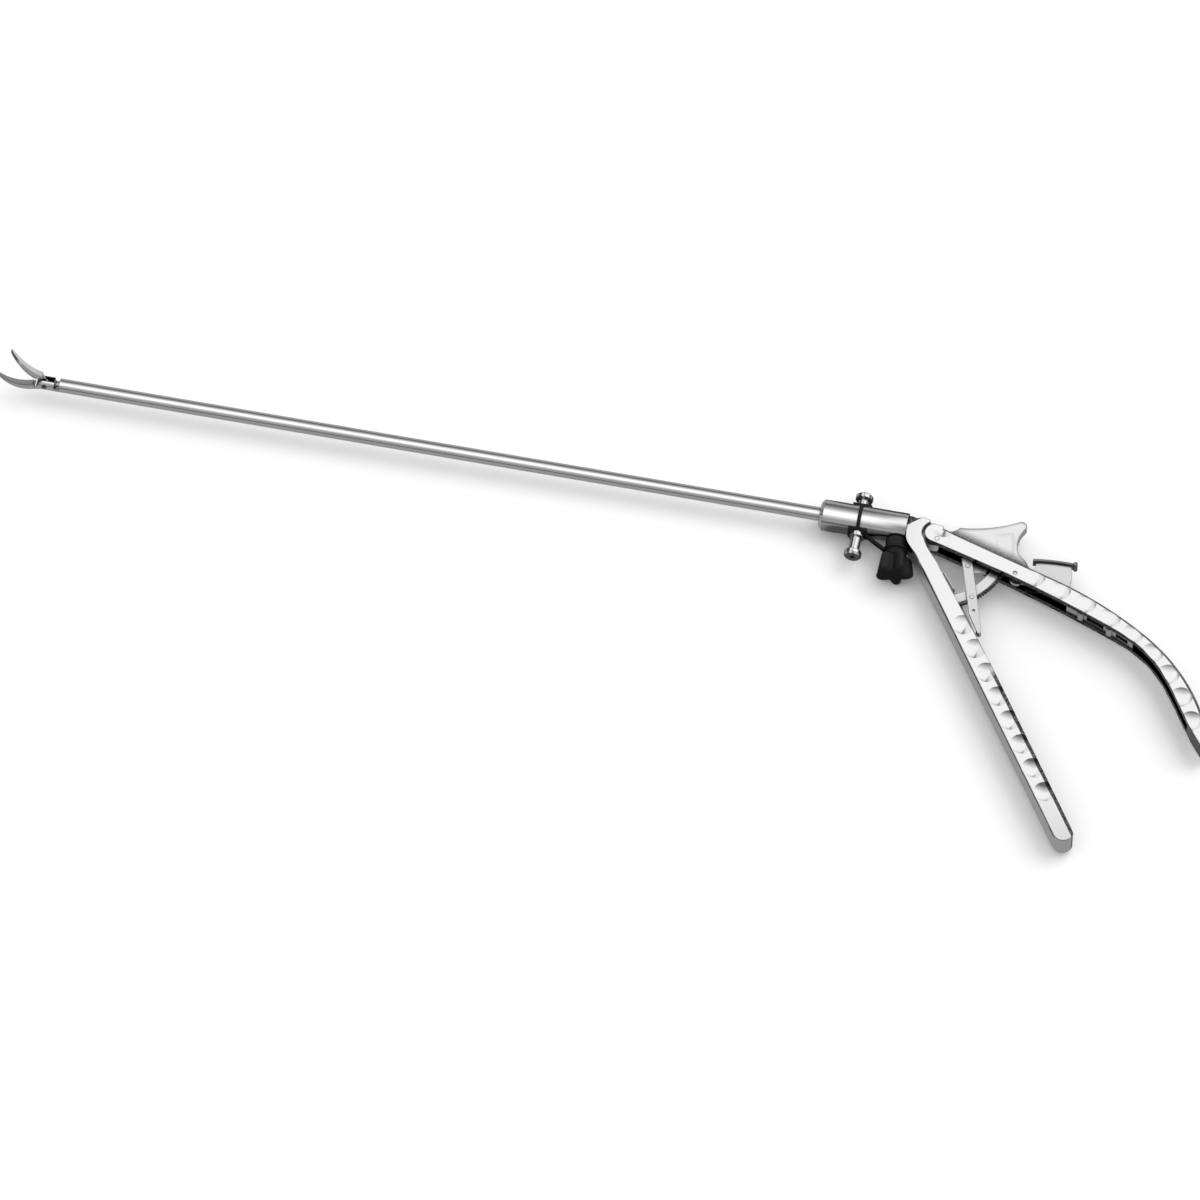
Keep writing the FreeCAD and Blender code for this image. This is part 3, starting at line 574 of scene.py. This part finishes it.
def camera():
    """Long lens from above: the part lies across the picture, jaws to the left and handles to the right."""
    away = Vector(CAMERA_WAY).normalized()
    level = Vector(LEVEL_WAY)
    right = (level - away * level.dot(away)).normalized()
    up = away.cross(right)
    # The roll turns the shaft down to the right.
    picture_right = right * math.cos(ROLL) + up * math.sin(ROLL)
    picture_up = up * math.cos(ROLL) - right * math.sin(ROLL)
    data = bpy.data.cameras.new("camera")
    data.sensor_width = SENSOR
    data.lens = LENS
    data.clip_start = 0.05
    data.clip_end = 40.0
    distance = FRAME_PX * LENS / SENSOR / PX_PER_METRE
    centre = (picture_right * ((FRAME_MIDDLE[0] - ORIGIN_PX[0]) / PX_PER_METRE)
              + picture_up * ((ORIGIN_PX[1] - FRAME_MIDDLE[1]) / PX_PER_METRE))
    turn = Matrix((picture_right, picture_up, away)).transposed().to_4x4()
    cam = put("camera", data)
    cam.matrix_world = Matrix.Translation(centre + away * distance) @ turn
    bpy.context.scene.camera = cam


# Studio

def sheet(name, x0, x1, y0, y1, z):
    """Flat sheet of the studio, not part of the holder."""
    mesh = bpy.data.meshes.new(name)
    mesh.from_pydata([(x0, y0, z), (x1, y0, z), (x1, y1, z), (x0, y1, z)], [], [(0, 1, 2, 3)])
    obj = put(name, mesh)
    return obj


FLOOR_GAP = 0.04 * MM
FLOOR_Z = cad_low.z - FLOOR_GAP
FLOOR_HALF = 4.0
FLOOR_TONE = grey(0.95)
# Brightness of the floor in the steel: darker under the hub, whose lower side is dark.
FLOOR_MIRRORED = 0.31
HUB_DARKER = 0.24
HUB_START = (-2.0 * MM, 4.0 * MM)
HUB_END = (40.0 * MM, 34.0 * MM)


def floor():
    """Pale matt floor, which keeps the soft shadow and shows in the steel as grey."""
    obj = sheet("floor", -FLOOR_HALF, FLOOR_HALF, -FLOOR_HALF, FLOOR_HALF, FLOOR_Z)
    g = Finish("pale_floor")
    g.set(Base_Color=FLOOR_TONE, Roughness=1.0, Specular_IOR_Level=0.0)
    x = g.split(g.place())[0]
    under_hub = x.step(*HUB_START) * x.step(*HUB_END)
    mirrored = g.glow(FLOOR_MIRRORED - under_hub * HUB_DARKER)
    plain = Sock(g, g.shader.outputs[0])
    g.show(g.node("ShaderNodeMixShader", inputs=(g.ray("Is Glossy Ray"), plain, mirrored)))
    obj.data.materials.append(g.mat)


# Brightness of the studio round the shaft, by the angle from straight up towards +Y, in degrees.
AROUND = [(-180, 0.2), (-95, 0.05), (-82, 0.1), (-70, 0.36), (-54, 0.31), (-38, 0.6), (-20, 1.15),
          (3, 1.15), (28, 0.42), (57, 0.07), (75, 0.3), (97, 0.6), (180, 0.4)]
AROUND_TOP = 1.2
# Brightness towards the handles' end and the jaws' end, and how much darker it gets past the light there.
RIGHT_LIGHT = 0.62
RIGHT_DARKER = 0.42
LEFT_LIGHT = 0.85
LEFT_DARKER = 0.8
# Where these changes come, by the X or Z of the direction.
BANDS_KEPT = (0.3, 0.15)
TO_LEFT = (0.1, -0.1)
PAST_RIGHT = (0.6, 0.75)
PAST_LEFT = (-0.5, -0.7)
PAST_LEFT_LOW = (0.8, 0.6)
# Light on everything that isn't metal.
SOFT_LIGHT = 0.9


def sky():
    """White to the camera, an even light on plain surfaces, and bands of light and dark in the steel."""
    world = bpy.data.worlds.new("studio")
    world.use_nodes = True
    g = Graph(world.node_tree)
    x, y, z = g.split(g.node("ShaderNodeTexCoord", output="Generated"))
    turn = y.op("ARCTAN2", z) / (2 * math.pi) + 0.5
    bands = g.ramp(turn, [(angle / 360 + 0.5, level / AROUND_TOP) for angle, level in AROUND]) * AROUND_TOP
    middle = x.op("ABSOLUTE").step(*BANDS_KEPT)
    right = RIGHT_LIGHT - x.step(*PAST_RIGHT) * RIGHT_DARKER
    left = LEFT_LIGHT - x.step(*PAST_LEFT) * z.step(*PAST_LEFT_LOW) * LEFT_DARKER
    to_left = x.step(*TO_LEFT)
    ends = to_left * left + (1.0 - to_left) * right
    mirrored = middle * bands + (1.0 - middle) * ends
    camera_ray = g.ray("Is Camera Ray")
    glossy = g.ray("Is Glossy Ray")
    level = camera_ray + (1.0 - camera_ray) * (glossy * mirrored + (1.0 - glossy) * SOFT_LIGHT)
    background = world.node_tree.nodes["Background"]
    g.feed(background.inputs["Color"], WHITE)
    g.feed(background.inputs["Strength"], level)
    bpy.context.scene.world = world


# The card over the handles, in millimetres: its ends along X and its height.
CARD_X = (12.0, 320.0)
CARD_Z = 180.0
# Brightness of the card by its Y: the arms' scoops fade towards its dark side.
CARD_LIGHT = [(-300, 0.08), (-90, 0.13), (-25, 0.7), (10, 0.97), (200, 1.0), (420, 0.8), (560, 0.7)]


def reflector():
    """Bright card that the flat sides of the arms mirror and the hub doesn't."""
    low = CARD_LIGHT[0][0]
    high = CARD_LIGHT[-1][0]
    card = sheet("reflector", CARD_X[0] * MM, CARD_X[1] * MM, low * MM, high * MM, CARD_Z * MM)
    g = Finish("reflector_light")
    y = g.split(g.place())[1]
    across = (y - low * MM) / ((high - low) * MM)
    g.show(g.glow(g.ramp(across, [((at - low) / (high - low), level) for at, level in CARD_LIGHT])))
    card.data.materials.append(g.mat)
    card.visible_camera = False
    card.visible_diffuse = False
    card.visible_shadow = False


def key_light(spot, size, power):
    """Large square lamp, aimed at the part, that casts the soft shadow and isn't mirrored."""
    data = bpy.data.lights.new("key", "AREA")
    data.shape = "SQUARE"
    data.size = size
    data.energy = power
    lamp = put("key", data)
    lamp.location = spot
    lamp.rotation_euler = (-Vector(spot)).to_track_quat("-Z", "Y").to_euler()
    lamp.visible_glossy = False


moulded_cap()
camera()
floor()
sky()
reflector()
key_light(spot=(2.7, 2.25, 3.9), size=4.5, power=120.0)

bpy.context.scene.view_settings.view_transform = "Standard"
